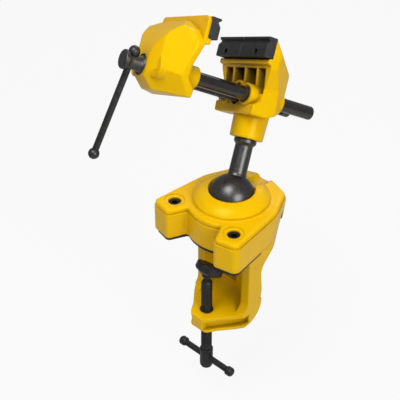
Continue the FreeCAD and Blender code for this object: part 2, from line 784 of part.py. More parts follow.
def lead_nut():
    """Hexagonal nut pressed into its pocket in the fixed jaw."""
    nut = hex_bar(NUT_R, NUT_FRONT, NUT_FRONT + NUT_L)
    return single(nut.cut(rod_x(LEAD_R + RUN_GAP, -60, 60, 0, ROD_U)))


def guide_bushes():
    """The two sleeves in which the guide rods slide."""
    bushes = []
    for w in (-ROD_W, ROD_W):
        sleeve = rod_x(ROD_R + BUSH_T, FIXED_BOSS_END, FIXED_BOSS_END + BUSH_L, w, ROD_U)
        bushes.append(sleeve.cut(rod_x(ROD_R + RUN_GAP, -60, 60, w, ROD_U)))
    return bushes


def stud_lock_screw():
    """Dog-point grub screw that runs in the groove of the stud."""
    body = rod_x(LOCK_R, JOURNAL_R + 0.6, STEM_R - 0.8, 0, LOCK_U)
    tip = rod_x(LOCK_TIP_R, JOURNAL_R - 1.2, JOURNAL_R + 1.0, 0, LOCK_U)
    socket = prism_x([(1.7 * math.cos(math.radians(60 * i)), LOCK_U + 1.7 * math.sin(math.radians(60 * i)))
                      for i in range(6)], STEM_R - 3.2, STEM_R)
    return single(fused(body, tip).cut(socket))


def jaw_pad(face, outward):
    """Grooved plastic jaw pad; outward is the way its face looks along X, +1 or -1."""
    back = face - outward * JAW_PAD_T
    low = JAW_TOP - PAD_H

    def at(depth, height, radius=0.0):
        return (face - outward * depth, low + height, radius)

    profile = [at(JAW_PAD_T, 0, 0.4), at(0, 0, 0.6), at(0, V_LOW, 0.5), at(V_DEPTH, V_ROOT, 0.5),
               at(V_DEPTH * 0.15, V_TOP, 0.3), at(0, PAD_H - 0.7, 0.3), at(0.8, PAD_H, 0.3),
               at(JAW_PAD_T, PAD_H, 0.4)]
    half = JAW_W / 2
    pad = prism_y(profile, -half, half)
    tip = CROSS_GROOVE / 2
    groove = [(face + outward, -tip - 0.6), (face - outward * CROSS_GROOVE * 0.7, -0.3),
              (face - outward * CROSS_GROOVE * 0.7, 0.3), (face + outward, tip + 0.6)]
    pad = pad.cut(prism_z(groove, low - 1, JAW_TOP + 1))
    u = low + PAD_SCREW_U
    for w in (-PAD_SCREW_W, PAD_SCREW_W):
        pad = pad.cut(rod_x(PAD_SCREW_R + 0.2, min(face, back) - 1, max(face, back) + 1, w, u))
        deep = face - outward * (PAD_SCREW_HEAD_H + 2.2)
        pad = pad.cut(rod_x(PAD_SCREW_HEAD + 0.15, min(deep, face + outward), max(deep, face + outward), w, u))
    return single(pad)


def jaw_pad_screws(face, outward):
    """The two screws of a jaw pad."""
    screws = []
    u = JAW_TOP - PAD_H + PAD_SCREW_U
    for w in (-PAD_SCREW_W, PAD_SCREW_W):
        under = face - outward * (PAD_SCREW_HEAD_H + 2.2)
        top = under + outward * PAD_SCREW_HEAD_H
        tip = under - outward * (PAD_SCREW_L - 0.5 - (JAW_PAD_T - PAD_SCREW_HEAD_H - 2.2) * 0.5)
        head = rod_x(PAD_SCREW_HEAD, min(under, top), max(under, top), w, u)
        shank = rod_x(PAD_SCREW_R, min(under, tip), max(under, tip), w, u)
        slot_low = top - outward * 1.2
        slot = block((min(slot_low, top + outward), w - 0.35, u - 4),
                     (max(slot_low, top + outward), w + 0.35, u + 4))
        screws.append(single(fused(head, shank).cut(slot)))
    return screws


# Moving jaw and what it carries, in the head frame

MOVING_BACK = MOVING_FACE - JAW_PAD_T


def moving_side():
    """Side view of the moving jaw: pad seat, ledge, hollow rear edge, chin and the sloping nose."""
    low = JAW_TOP - PAD_H
    ledge = MOVING_BACK + LEDGE_OUT
    rear = MOVING_BACK - 5.6
    return [(MOVING_BACK, JAW_TOP),
            (MOVING_BACK - 4.4, JAW_TOP, 1.0),
            (MOVING_BACK - 6.4, JAW_TOP - 4.2, 1.0),
            (MOVING_BACK - 12.9, JAW_TOP - 7.6, 6.0),
            (JAW_NOSE + 7.5, JAW_TOP - 17.0, 24.0),
            (JAW_NOSE + 1.1, JAW_TOP - 30.2, 24.0),
            (JAW_NOSE, ROD_U + 6.2, 10.0),
            (JAW_NOSE, ROD_U - 8.3, 3.0),
            (JAW_NOSE + 9.5, MOVING_BOTTOM, 3.0),
            (MOVING_BACK + 1.6, MOVING_BOTTOM, 1.5),
            (MOVING_BACK + 1.6, MOVING_BOTTOM + 6.5, 2.0),
            (rear, ROD_U - 2.8, 4.0),
            (rear, CELL_FLOOR + 6.0, 8.0),
            (MOVING_BACK - 1.0, low - 1.8 - LEDGE_T, 2.0),
            (ledge, low - 1.2 - LEDGE_T, 0.8),
            (ledge, low - 0.8, 0.8),
            (MOVING_BACK, low - 0.1)]


def moving_plan():
    """Plan of the moving jaw as (x, y) corners."""
    half = JAW_W / 2
    right = [(MOVING_BACK + 19.0, half), (MOVING_BACK - 7.9, half, 5.0),
             (JAW_NOSE + 5.0, half - 16.5, 5.0), (JAW_NOSE - 0.5, 9.0, 16.0)]
    left = [(c[0], -c[1]) + tuple(c[2:]) for c in reversed(right)]
    return right + left


def chin_corners():
    """The two blocks that slope the lower corners of the moving jaw."""
    half = JAW_W / 2
    inside = V(MOVING_BACK - 8.0, 0, ROD_U + 10.0)
    return [beyond_plane(V(MOVING_BACK - 2.9, side * (half - 9.0), MOVING_BOTTOM),
                         V(JAW_NOSE + 13.5, side * CHIN_HALF, MOVING_BOTTOM),
                         V(JAW_NOSE + 5.0, side * (half - 16.5), MOVING_BOTTOM + CHIN_RISE), inside)
            for side in (-1, 1)]


def moving_jaw():
    """Moving jaw casting with its window cells, rod bosses and screw boss."""
    jaw = jaw_shell(moving_side(), moving_plan(), moving_foot(), crowned_head(), MOVING_BACK - PLATE_BACK,
                    MOVING_BACK + LEDGE_OUT)
    for corner in chin_corners():
        jaw = jaw.cut(corner)
    jaw = jaw.cut(window_cells(MOVING_BACK, JAW_NOSE + 7.5, -1))
    front = NOSE_WALL_BACK - NOSE_WALL_T
    bosses = [rod_x(MOVING_BOSS_R, front, MOVING_BOSS_END, w, ROD_U) for w in (-ROD_W, ROD_W)]
    jaw = fused(jaw, *bosses, rod_x(LEAD_BOSS_R, front, NOSE_WALL_BACK, 0, ROD_U))
    jaw = jaw.cut(rod_x(WASHER_R + 0.6, NOSE_WALL_BACK, -50, 0, ROD_U))
    for w in (-ROD_W, ROD_W):
        jaw = jaw.cut(rod_x(ROD_R + ROD_FIT, ROD_FRONT, -50, w, ROD_U))
        jaw = jaw.cut(Part.makeCylinder(ROD_PIN_R + ROD_FIT, 20, V(ROD_PIN_S, w, ROD_U - 10)))
    jaw = jaw.cut(rod_x(LEAD_R + RUN_GAP, -130, -50, 0, ROD_U))
    jaw = jaw.cut(rod_x(FLANGE_R + 0.25, -130, FLANGE_BACK, 0, ROD_U))
    jaw = jaw_screw_holes(jaw, MOVING_BACK, -1)
    return single(jaw.removeSplitter())


def guide_rod(w):
    """Guide rod with chamfered ends, pinned into the moving jaw."""
    rod = turned_x([(ROD_FRONT, 0), (ROD_FRONT, ROD_R, 0.6), (ROD_REAR, ROD_R, 1.2), (ROD_REAR, 0)])
    rod = rod.translated(V(0, w, ROD_U))
    return single(rod.cut(Part.makeCylinder(ROD_PIN_R + ROD_FIT, 20, V(ROD_PIN_S, w, ROD_U - 10))))


def guide_rod_pins():
    """Roll pins through the rod bosses."""
    return [Part.makeCylinder(ROD_PIN_R, 17, V(ROD_PIN_S, w, ROD_U - 8.5)) for w in (-ROD_W, ROD_W)]


def lead_screw():
    """Lead screw: end disc, waist with the bar hole, flange, journal, clip groove and thread."""
    groove = NOSE_WALL_BACK + WASHER_T + 0.1
    screw = turned_x([(LEAD_HEAD_END, 0),
                      (LEAD_HEAD_END, LEAD_HEAD_R, 0.9),
                      (LEAD_HEAD_BACK, LEAD_HEAD_R, 1.6),
                      (LEAD_HEAD_BACK + 3.0, WAIST_R, 4.0),
                      (FLANGE_FRONT - 2.6, WAIST_R + 0.2, 3.0),
                      (FLANGE_FRONT, FLANGE_R, 0.6),
                      (FLANGE_BACK, FLANGE_R),
                      (FLANGE_BACK, LEAD_R),
                      (groove, LEAD_R),
                      (groove, CLIP_GROOVE_R),
                      (groove + CLIP_T + 0.1, CLIP_GROOVE_R),
                      (groove + CLIP_T + 0.1, LEAD_R),
                      (LEAD_REAR, LEAD_R, 1.2),
                      (LEAD_REAR, 0)])
    screw = screw.translated(V(0, 0, ROD_U))
    along = bar_direction()
    centre = V(BAR_S, 0, ROD_U)
    screw = screw.cut(Part.makeCylinder(BAR_R + RUN_GAP, 40, centre - along * 20, along))
    for side in (-1, 1):
        screw = screw.cut(Part.makeSphere(KNOB_R + 0.1, centre + along * (side * KNOB_SEAT)))
    return single(screw)


def bar_direction():
    """Way up the handle bar, in the head frame, leaning towards the near side."""
    lean = math.radians(BAR_LEAN)
    return V(0, -math.sin(lean), math.cos(lean))


def thrust_washer():
    """Washer between the nose wall and the clip."""
    washer = rod_x(WASHER_R, NOSE_WALL_BACK, NOSE_WALL_BACK + WASHER_T, 0, ROD_U)
    return single(washer.cut(rod_x(LEAD_R + RUN_GAP, -130, -50, 0, ROD_U)))


def screw_clip():
    """Retaining clip in the groove of the lead screw."""
    start = NOSE_WALL_BACK + WASHER_T + 0.15
    clip = rod_x(CLIP_R, start, start + CLIP_T, 0, ROD_U)
    clip = clip.cut(rod_x(CLIP_GROOVE_R, -130, -50, 0, ROD_U))
    mouth = block((start - 1, -3.2, ROD_U - 20), (start + 3, 3.2, ROD_U))
    return single(clip.cut(mouth))


def knob(radius, length):
    """Rounded end knob of a bar along Z, centred on the origin."""
    return turned_z([(0, -length / 2), (radius, -length / 2, radius * 0.62),
                     (radius, length / 2, radius * 0.62), (0, length / 2)])


def handle_parts():
    """Bar and the two knobs of the jaw handle, resting on its upper knob."""
    along = bar_direction()
    centre = V(BAR_S, 0, ROD_U)
    top = centre + along * KNOB_SEAT
    low = centre + along * (KNOB_SEAT - BAR_LENGTH)
    bar = Part.makeCylinder(BAR_R, BAR_LENGTH, low, along)
    turn = FreeCAD.Rotation(V(0, 0, 1), along)
    pieces = []
    for place in (top, low):
        ball = Part.makeSphere(KNOB_R)
        ball = ball.cut(rod_z(BAR_R, -KNOB_R, 0) if place is top else rod_z(BAR_R, 0, KNOB_R))
        ball.Placement = FreeCAD.Placement(place, turn)
        pieces.append(single(ball))
    return bar, pieces[0], pieces[1]


# Clamp screw and pad

def clamp_screw():
    """Clamp screw with its tapered end, thread, head and bar hole."""
    screw = turned_z([(0, CLAMP_TAIL),
                      (CLAMP_HEAD_R, CLAMP_TAIL, 4.5),
                      (CLAMP_HEAD_R, CLAMP_HEAD_TOP, 0.6),
                      (CLAMP_R, CLAMP_HEAD_TOP, 0.4),
                      (CLAMP_R, CLAMP_TOP - 2.6, 0.4),
                      (NECK_R + 0.8, CLAMP_TOP, 0.3),
                      (0, CLAMP_TOP)])
    screw = screw.translated(V(0, SCREW_Y, 0))
    screw = screw.cut(rod_z(SHANK_R + RUN_GAP, CLAMP_TOP - SHANK_L - 0.3, CLAMP_TOP + 1, 0, SCREW_Y))
    return single(screw.cut(rod_x(CLAMP_BAR_R + RUN_GAP, -20, 20, SCREW_Y, CLAMP_BAR_Z)))


def swivel_stud():
    """Ball-ended stud that sits in the tip of the clamp screw and carries the pad."""
    ball = Part.makeSphere(SWIVEL_R, V(0, SCREW_Y, SWIVEL_Z))
    neck = rod_z(NECK_R, CLAMP_TOP + 0.1, SWIVEL_Z, 0, SCREW_Y)
    shank = rod_z(SHANK_R, CLAMP_TOP - SHANK_L, CLAMP_TOP + 1, 0, SCREW_Y)
    return single(fused(ball, neck, shank))


def clamp_shoe():
    """Swivel pad: a thick dished disc with a socket round the ball, leaning back on its ball."""
    shoe = turned_z([(0, -SHOE_UNDER),
                     (SHOE_HUB_R, -SHOE_UNDER, 0.6),
                     (SHOE_R - 1.0, SHOE_RIM_LOW - 1.4, 1.0),
                     (SHOE_R, SHOE_RIM_LOW, 0.8),
                     (SHOE_R, SHOE_TOP, 0.8),
                     (0, SHOE_TOP)])
    shoe = shoe.cut(Part.makeSphere(SWIVEL_R + BALL_GAP))
    for i in range(2):
        groove = block((-SHOE_R, -SHOE_GROOVE, SHOE_TOP - 0.6), (SHOE_R, SHOE_GROOVE, SHOE_TOP + 1))
        groove.rotate(V(), V(0, 0, 1), 90 * i)
        shoe = shoe.cut(groove)
    shoe.rotate(V(), V(1, 0, 0), -SHOE_TILT)
    return single(shoe.translated(V(0, SCREW_Y, SWIVEL_Z)))


def clamp_bar_parts():
    """T bar of the clamp screw and its two knobs."""
    bar = rod_x(CLAMP_BAR_R, -CLAMP_BAR_HALF, CLAMP_BAR_HALF, SCREW_Y, CLAMP_BAR_Z)
    pieces = []
    for side in (-1, 1):
        end = knob(CLAMP_KNOB_R, 8.0)
        end.rotate(V(), V(0, 1, 0), 90)
        end = end.translated(V(side * CLAMP_BAR_HALF, SCREW_Y, CLAMP_BAR_Z))
        pieces.append(single(end.cut(bar)))
    return bar, pieces[0], pieces[1]


def build():
    """Every node of the vise, by name."""
    bar, top_knob, low_knob = handle_parts()
    clamp_bar, left_knob, right_knob = clamp_bar_parts()
    nodes = {
        "base_body": base_body(),
        "ball_cover": ball_cover(),
        "cover_screws_front": cover_screws_front(),
        "cover_screws_rear": cover_screws_rear(),
        "base_pad": base_pad(),
        "pressure_plate": pressure_plate(),
        "ball_seat": ball_seat(),
        "clamp_insert": clamp_insert(),
        "clamp_screw": clamp_screw(),
        "swivel_stud": swivel_stud(),
        "clamp_shoe": clamp_shoe(),
        "clamp_bar": clamp_bar,
        "clamp_knob_left": left_knob,
        "clamp_knob_right": right_knob,
    }
    head = {
        "ball_stud": ball_stud(),
        "fixed_jaw": fixed_jaw(),
        "lead_nut": lead_nut(),
        "guide_bushes": guide_bushes(),
        "stud_lock_screw": stud_lock_screw(),
        "fixed_jaw_pad": jaw_pad(FIXED_FACE, -1),
        "fixed_pad_screws": jaw_pad_screws(FIXED_FACE, -1),
        "moving_jaw": moving_jaw(),
        "moving_jaw_pad": jaw_pad(MOVING_FACE, 1),
        "moving_pad_screws": jaw_pad_screws(MOVING_FACE, 1),
        "guide_rod_near": guide_rod(-ROD_W),
        "guide_rod_far": guide_rod(ROD_W),
        "guide_rod_pins": guide_rod_pins(),
        "lead_screw": lead_screw(),
        "thrust_washer": thrust_washer(),
        "screw_clip": screw_clip(),
        "handle_bar": bar,
        "handle_knob_top": top_knob,
        "handle_knob_bottom": low_knob,
    }
    for name, shape in head.items():
        nodes[name] = [on_head(s) for s in shape] if isinstance(shape, list) else on_head(shape)
    return nodes


def export(nodes):
    """One STEP file per node."""
    os.makedirs("parts", exist_ok=True)
    for name, shape in nodes.items():
        whole = Part.makeCompound(shape) if isinstance(shape, list) else shape
        whole.exportStep(os.path.join("parts", name + ".step"))
        print(name, len(whole.Solids), round(whole.Volume, 1), whole.isValid())


export(build())
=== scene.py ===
"""Looks of the multi-angle vise: gloss yellow castings, dark steel ball joint, black rods and screws.

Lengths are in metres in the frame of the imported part, and in millimetres where a heading says so.  The
two screws get real helical threads here; every other piece keeps its solid and gets its finish.
"""
import json
import math
import bpy
import numpy as np
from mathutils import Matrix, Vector


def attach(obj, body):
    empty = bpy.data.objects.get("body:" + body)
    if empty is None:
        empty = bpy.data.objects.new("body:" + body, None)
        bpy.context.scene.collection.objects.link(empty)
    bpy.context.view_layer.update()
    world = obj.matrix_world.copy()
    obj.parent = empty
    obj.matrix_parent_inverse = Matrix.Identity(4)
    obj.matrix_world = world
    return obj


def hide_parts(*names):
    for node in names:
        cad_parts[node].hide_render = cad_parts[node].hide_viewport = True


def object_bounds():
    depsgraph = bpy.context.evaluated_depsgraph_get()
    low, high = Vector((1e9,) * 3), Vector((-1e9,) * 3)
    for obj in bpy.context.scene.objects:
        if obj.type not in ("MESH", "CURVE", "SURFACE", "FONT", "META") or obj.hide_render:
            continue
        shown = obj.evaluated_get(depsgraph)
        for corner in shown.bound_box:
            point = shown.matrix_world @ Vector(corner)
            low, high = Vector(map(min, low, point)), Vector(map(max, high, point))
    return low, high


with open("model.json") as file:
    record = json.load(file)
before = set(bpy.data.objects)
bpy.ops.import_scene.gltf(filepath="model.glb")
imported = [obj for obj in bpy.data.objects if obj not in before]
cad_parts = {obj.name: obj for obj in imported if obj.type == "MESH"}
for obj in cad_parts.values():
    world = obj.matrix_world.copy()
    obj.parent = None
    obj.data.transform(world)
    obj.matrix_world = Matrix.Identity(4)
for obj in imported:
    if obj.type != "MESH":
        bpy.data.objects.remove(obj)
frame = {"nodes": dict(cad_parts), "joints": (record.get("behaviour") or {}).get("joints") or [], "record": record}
cad_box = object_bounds()
NODES = frame["nodes"]
JOINTS = {joint["name"]: joint for joint in frame["joints"]}
BALL_CENTRE = Vector(JOINTS["ball_tilt"]["pos_m"])
SCREW_AXIS = -Vector(JOINTS["jaw_travel"]["axis"]).normalized()
BAR_AXIS = Vector(JOINTS["handle_slide"]["axis"]).normalized()
UP = Vector((0, 0, 1))
ACROSS = Vector((1, 0, 0))
MM = 0.001

# Camera of the photograph: lens and sensor in millimetres, place in metres from the ball's centre
LENS = 81.8
SENSOR = 36.0
CAMERA_FROM_BALL = Vector((0.4005, -0.4674, 0.4525))
CAMERA_AZIMUTH = math.radians(43.05)
CAMERA_ELEVATION = math.radians(36.51)
CAMERA_CLIP = (0.01, 20.0)

# Floor: how far it lies under the vise, which is more than the clamp screw can drop, and half its side,
# both in metres; then its grey, and the share of white that the camera sees on it
FLOOR_DROP = 0.035
FLOOR_HALF = 4.0
FLOOR_GREY = 0.55
FLOOR_WHITE_SHARE = 0.9

# Light: strength of the surround, and lamps with their place and side in metres and power in watts
ROOM_LIGHT = 0.28
LAMP_AIM = (0.0, 0.0, 0.04)
LAMPS = {
    "key_box": ((0.0, -0.5, 1.25), 0.7, 10.5),
    "right_box": ((1.0, -0.25, 0.6), 0.6, 7.0),
    "back_box": ((-0.4, 0.9, 0.8), 0.6, 3.0),
}

# Lead screw, in millimetres: outline of (place along its axis from the stud's axis, radius)
LEAD_OUTLINE = [(-126.9, 0), (-126.9, 6.6), (-126.75, 7.1), (-126.4, 7.5), (-126.0, 7.72), (-125.7, 7.8),
                (-123.8, 7.8), (-123.3, 7.7), (-122.7, 7.3), (-122.1, 6.8), (-121.3, 6.42), (-120.3, 6.24),
                (-119.5, 6.2), (-113.6, 6.38), (-112.4, 6.46), (-111.4, 6.8), (-110.5, 7.35), (-109.7, 7.85),
                (-109.3, 8.05), (-108.9, 8.1), (-107.55, 8.1), (-107.4, 7.95), (-107.4, 7.0), (-96.3, 7.0),
                (-96.3, 5.8), (-95.0, 5.8), (-95.0, 7.0), (28.8, 7.0), (30.0, 5.8), (30.0, 0)]
LEAD_THREAD = {"pitch": 3.0, "depth": 1.4, "major": 7.0, "from": -90.0, "to": 29.0}
LEAD_STEP = 0.25
LEAD_HOLE_AT = -119.5
LEAD_HOLE_R = 2.83
KNOB_SEAT = 8.2
KNOB_SEAT_R = 4.7

# Clamp screw, in millimetres: outline of (height, radius)
CLAMP_Y = -30.0
CLAMP_OUTLINE = [(-146.5, 0), (-146.5, 1.6), (-146.38, 2.6), (-146.0, 3.7), (-145.4, 4.65), (-144.6, 5.4),
                 (-143.6, 5.85), (-142.4, 6.07), (-141.6, 6.1), (-123.5, 6.1), (-123.15, 5.95), (-123.0, 5.6),
                 (-123.0, 5.0), (-42.8, 5.0), (-42.4, 4.85), (-40.3, 3.6), (-40.0, 3.3), (-40.0, 0)]
CLAMP_THREAD = {"pitch": 1.5, "depth": 0.85, "major": 5.0, "from": -121.0, "to": -43.0}
CLAMP_STEP = 0.16
CLAMP_HOLE_AT = -134.0
CLAMP_HOLE_R = 2.98
CLAMP_BORE_R = 2.48
CLAMP_BORE_DEPTH = 9.3
CLAMP_BORE_OVER = 1.0

# Thread form, as shares of the pitch: half of the root's flat, and one flank
THREAD_ROOT_HALF = 0.12
THREAD_FLANK = 0.13

# Meshes: steps round a screw and round a cutter, rings of a cutting ball and the gap at its poles in
# radians, half length of a cross hole's cutter in millimetres, the sharpest angle shaded smooth, and
# how far in metres a corner may lie from a solid's end and still count as its rim
SCREW_STEPS = 64
CUTTER_STEPS = 48
BALL_RINGS = 24
POLE_GAP = 0.04
HOLE_HALF = 20.0
SMOOTH_DEGREES = 35
RIM_SLACK = 0.00005

# Edge mask and painted shade: samples, and the ranges that map to 0 to 1.  They are the agreement of the
# rounded normal with the true one, the noise that breaks up the edge colour, and the openness at an edge
# and in a recess, where shade is painted in
MASK_SAMPLES = 6
EDGE_AGREEMENT = (0.995, 0.86)
WEAR_AND_HIGHLIGHT_PATCHES = (0.35, 0.65)
EDGE_OPENNESS = (0.55, 0.9)
PAINTED_SHADE_OPENNESS = (0.7, 0.25)

# Finishes: stretch of the mottle over which colour and roughness run, and the share of the first colour
# that is left in a recess under full painted shade
MOTTLE_RANGE = (0.3, 0.7)
PAINTED_SHADE_KEPT = 0.12


# Meshes from grids of points

def in_scene(name, data):
    """New object with its data, in the scene."""
    made = bpy.data.objects.new(name, data)
    bpy.context.scene.collection.objects.link(made)
    return made


def grid_piece(name, points):
    """Closed mesh over a grid of points: rows follow one another, each a closed ring, with capped ends."""
    rows, cols = points.shape[:2]
    index = np.arange(rows * cols).reshape(rows, cols)
    after = np.roll(index, -1, axis=1)
    quads = np.stack([index[:-1], after[:-1], after[1:], index[1:]], axis=-1).reshape(-1, 4)
    caps = [index[0][::-1].tolist(), index[-1].tolist()]
    mesh = bpy.data.meshes.new(name)
    mesh.from_pydata(points.reshape(-1, 3).tolist(), [], quads.tolist() + caps)
    mesh.update()
    return in_scene(name, mesh)


def round_angles(steps):
    """Even angles round a full turn."""
    return np.linspace(0, 2 * math.pi, steps, endpoint=False)


def round_directions(axis, steps):
    """Unit vectors square to an axis: cos t times one side plus sin t times the other, at even angles t."""
    side = axis.orthogonal().normalized()
    other = axis.cross(side).normalized()
    angle = round_angles(steps)
    return np.cos(angle)[:, None] * np.array(side) + np.sin(angle)[:, None] * np.array(other)


def resampled(outline, step):
    """Outline of (along, radius) corners with extra points so that no run is longer than step."""
    corners = np.array(outline, float)
    runs = [corners[:1]]
    for start, end in zip(corners[:-1], corners[1:]):
        count = max(1, int(math.ceil(np.linalg.norm(end - start) / step)))
        fractions = np.linspace(0, 1, count + 1)[1:, None]
        runs.append(start + (end - start) * fractions)
    return np.concatenate(runs)


def threaded_piece(name, start, axis, outline, thread, step):
    """Solid turned about an axis, with a helical thread over part of its length.

    A point at distance a along the axis and angle t has the radius of the outline at a, but no more
    than the major radius less the thread's depth times a trapezoid wave of the phase
    a / pitch - t / (2 pi).  The depth grows from nothing over one pitch at each end of the thread.
    """
    line = resampled(outline, step)
    angle = round_angles(SCREW_STEPS)
    along = line[:, 0][:, None] * np.ones(SCREW_STEPS)
    radius = line[:, 1][:, None] * np.ones(SCREW_STEPS)
    phase = (along / thread["pitch"] - angle / (2 * math.pi)) % 1.0
    crest = np.clip((np.abs(phase - 0.5) - THREAD_ROOT_HALF) / THREAD_FLANK, 0, 1)
    fade = np.clip(np.minimum(along - thread["from"], thread["to"] - along) / thread["pitch"], 0, 1)
    cut = thread["major"] - thread["depth"] * (1 - crest) * fade
    radius = np.where(fade > 0, np.minimum(radius, cut), radius)
    outward = round_directions(axis, SCREW_STEPS)
    points = np.array(start) + (along[..., None] * np.array(axis) + radius[..., None] * outward[None]) * MM
    return grid_piece(name, points)


def cutter_rod(axis, centre, radius, half):
    """Closed cylinder for cutting a hole: a ring round the axis, carried half the length both ways."""
    ring = radius * MM * round_directions(axis, CUTTER_STEPS)
    ends = [np.array(centre) + ring + np.array(axis) * offset * MM for offset in (-half, half)]
    return grid_piece("cutter_rod", np.stack(ends))


def cutter_ball(centre, radius):
    """Closed ball with small flat caps at its poles, for cutting a round seat.

    The point at tilt p and angle t is (sin p cos t, sin p sin t, -cos p) times the radius.
    """
    tilt = np.linspace(POLE_GAP, math.pi - POLE_GAP, BALL_RINGS)
    angle = round_angles(CUTTER_STEPS)
    x = np.sin(tilt)[:, None] * np.cos(angle)
    y = np.sin(tilt)[:, None] * np.sin(angle)
    z = -np.cos(tilt)[:, None] * np.ones(CUTTER_STEPS)
    points = np.array(centre) + np.stack([x, y, z], axis=-1) * radius * MM
    return grid_piece("cutter_ball", points)


def cut_away(piece, cutters):
    """Takes the cutters out of a piece and removes them."""
    for cutter in cutters:
        modifier = piece.modifiers.new("cut", "BOOLEAN")
        modifier.object = cutter
        modifier.operation = "DIFFERENCE"
        modifier.solver = "EXACT"
    bpy.context.view_layer.update()
    graph = bpy.context.evaluated_depsgraph_get()
    mesh = bpy.data.meshes.new_from_object(piece.evaluated_get(graph))
    piece.modifiers.clear()
    piece.data = mesh
    for cutter in cutters:
        bpy.data.objects.remove(cutter)


# Node trees

def add(tree, kind, values=None, **settings):
    """New node with socket values and settings."""
    node = tree.nodes.new(kind)
    for key, value in settings.items():
        setattr(node, key, value)
    for key, value in (values or {}).items():
        node.inputs[key].default_value = value
    return node


def wire(tree, *links):
    """Joins sockets.  Each link is a node, its output, the next node and its input."""
    for source, output, target, entry in links:
        tree.links.new(source.outputs[output], target.inputs[entry])


def remap(tree, span, least=0.0, most=1.0):
    """Node that maps a span of values to the stretch from least to most."""
    return add(tree, "ShaderNodeMapRange",
               {"From Min": span[0], "From Max": span[1], "To Min": least, "To Max": most})


def colour_ramp(tree, stops):
    """Colour ramp through (position, colour) stops."""
    ramp = add(tree, "ShaderNodeValToRGB")
    for element, (position, colour) in zip(ramp.color_ramp.elements, stops):
        element.position = position
        element.color = (*colour, 1)
    return ramp


def colour_mix(tree, second):
    """Mix node with its second colour set: the factor is input 0, the first colour 6, the result output 2."""
    return add(tree, "ShaderNodeMix", {7: (*second, 1)}, data_type="RGBA")


def node_group(name, inputs, outputs):
    """Shader group with float inputs {name: default} and outputs {name: kind}, and its two end nodes."""
    group = bpy.data.node_groups.new(name, "ShaderNodeTree")
    for label, default in inputs.items():
        socket = group.interface.new_socket(name=label, in_out="INPUT", socket_type="NodeSocketFloat")
        socket.default_value = default
    for label, kind in outputs.items():
        group.interface.new_socket(name=label, in_out="OUTPUT", socket_type="NodeSocket" + kind)
    return group, add(group, "NodeGroupInput"), add(group, "NodeGroupOutput")


def edge_mask_group():
    """Mask of edges, mask of painted shade in recesses, and the normal rounded over a radius.

    The edge mask is where the rounded normal turns from the true one, in patches, and where the place is
    open; it gives edge wear on metal and a painted highlight on the yellow paint.  Painted shade falls
    where little of the surround within the reach is open.
    """
    group, source, sink = node_group("edge_mask",
                                     {"Radius": 0.0006, "Break Up": 300.0, "Reach": 0.012},
                                     {"Mask": "Float", "Painted Shade": "Float", "Normal": "Vector"})
    rounded = add(group, "ShaderNodeBevel", samples=MASK_SAMPLES)
    true_normal = add(group, "ShaderNodeNewGeometry")
    agreement = add(group, "ShaderNodeVectorMath", operation="DOT_PRODUCT")
    turned = remap(group, EDGE_AGREEMENT)
    place = add(group, "ShaderNodeTexCoord")
    noise = add(group, "ShaderNodeTexNoise", {"Detail": 4.0, "Roughness": 0.6})
    patches = remap(group, WEAR_AND_HIGHLIGHT_PATCHES)
    patchy = add(group, "ShaderNodeMath", operation="MULTIPLY")
    openness = add(group, "ShaderNodeAmbientOcclusion", samples=MASK_SAMPLES)
    outside = remap(group, EDGE_OPENNESS)
    # Painted shade mask: high where little of the surround is open
    painted_shade = remap(group, PAINTED_SHADE_OPENNESS)
    worn_and_lit = add(group, "ShaderNodeMath", operation="MULTIPLY")
    wire(group,
         (source, "Reach", openness, "Distance"),
         (openness, "AO", outside, "Value"),
         (openness, "AO", painted_shade, "Value"),
         (source, "Radius", rounded, "Radius"),
         (rounded, "Normal", agreement, 0),
         (true_normal, "Normal", agreement, 1),
         (agreement, "Value", turned, "Value"),
         (place, "Object", noise, "Vector"),
         (source, "Break Up", noise, "Scale"),
         (noise, "Fac", patches, "Value"),
         (turned, "Result", patchy, 0),
         (patches, "Result", patchy, 1),
         (patchy, "Value", worn_and_lit, 0),
         (outside, "Result", worn_and_lit, 1),
         (worn_and_lit, "Value", sink, "Mask"),
         (painted_shade, "Result", sink, "Painted Shade"),
         (rounded, "Normal", sink, "Normal"))
    return group


def grain_group():
    """Height and mottle of a surface: the mottle is a coarse noise, the height a mix of it and a fine one."""
    group, source, sink = node_group("grain",
                                     {"Fine Scale": 900.0, "Coarse Scale": 60.0, "Coarse Share": 0.3},
                                     {"Height": "Float", "Mottle": "Float"})
    place = add(group, "ShaderNodeTexCoord")
    fine = add(group, "ShaderNodeTexNoise", {"Detail": 3.0, "Roughness": 0.55})
    coarse = add(group, "ShaderNodeTexNoise", {"Detail": 5.0, "Roughness": 0.6})
    height = add(group, "ShaderNodeMix", data_type="FLOAT")
    wire(group,
         (place, "Object", fine, "Vector"),
         (place, "Object", coarse, "Vector"),
         (source, "Fine Scale", fine, "Scale"),
         (source, "Coarse Scale", coarse, "Scale"),
         (source, "Coarse Share", height, 0),
         (fine, "Fac", height, 2),
         (coarse, "Fac", height, 3),
         (height, 0, sink, "Height"),
         (coarse, "Fac", sink, "Mottle"))
    return group


EDGE_MASK = edge_mask_group()
GRAIN = grain_group()


def empty_material(name):
    """Material with an emptied node tree, the tree and its output node."""
    material = bpy.data.materials.new(name)
    material.use_nodes = True
    tree = material.node_tree
    tree.nodes.clear()
    return material, tree, add(tree, "ShaderNodeOutputMaterial")


